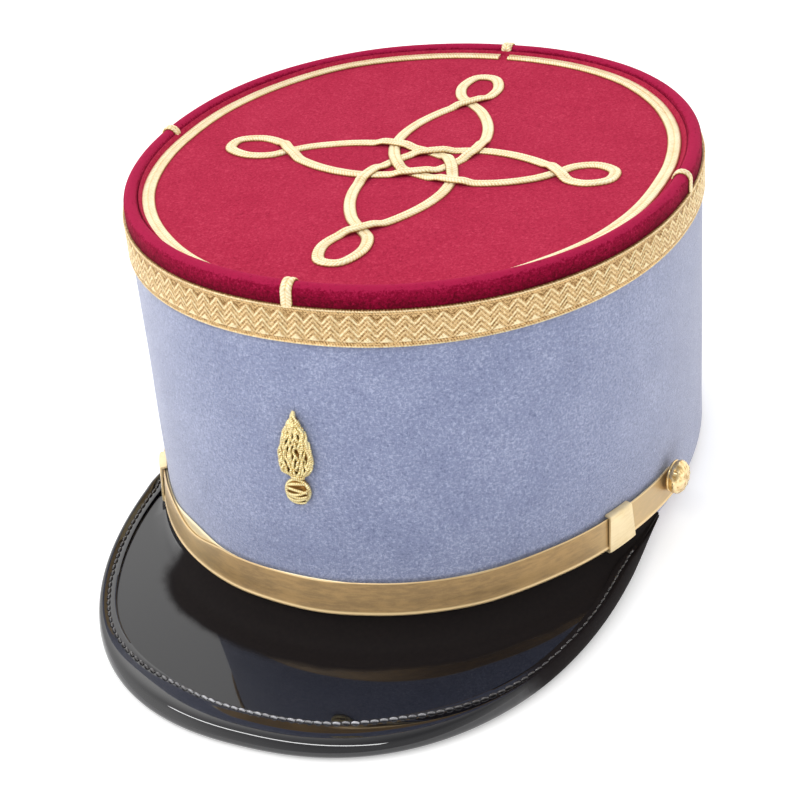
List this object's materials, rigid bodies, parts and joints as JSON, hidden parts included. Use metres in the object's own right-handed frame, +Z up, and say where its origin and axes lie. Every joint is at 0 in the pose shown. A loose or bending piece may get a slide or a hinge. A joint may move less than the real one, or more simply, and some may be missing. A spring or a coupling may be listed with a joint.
{
  "type": "kepi cap",
  "caption": "Felt kepi with a sunk crimson crown, gold lace and woven braid knot, flame badge, patent visor and gilt chin strap",
  "frame": {"origin": "under the middle of the whole cap, on the plane it stands on", "axes": "+Z up as it stands, +Y from the visor to the back of the head, +X the wearer's left"},
  "size_m": [0.1748, 0.2458, 0.1091],
  "materials": {
    "blue_felt": "matt wool felt, grey-blue with a light nap",
    "red_felt": "matt wool felt, crimson",
    "gold_lace": "woven metallic lace with chevrons, satin",
    "gold_braid": "metallic soutache braid, satin",
    "patent_leather": "gloss black patent",
    "gilt_leather": "gilt lacquer, satin",
    "gilt_brass": "polished gilt"
  },
  "bodies": {
    "root": {"band": "blue_felt", "turban": "red_felt", "crown_top": "red_felt", "galloon": "gold_lace", "tie_front": "gold_braid", "tie_back": "gold_braid", "tie_left": "gold_braid", "tie_right": "gold_braid", "top_ring": "gold_braid", "knot": "gold_braid", "badge_flame": "gold_braid", "badge_ball": "gold_braid", "visor": "patent_leather", "visor_binding": "patent_leather", "strap_outer": "gilt_leather", "strap_inner": "gilt_leather", "slide_left": "gilt_leather", "slide_right": "gilt_leather", "button_left": "gilt_brass", "button_right": "gilt_brass"}
  },
  "joints": []
}
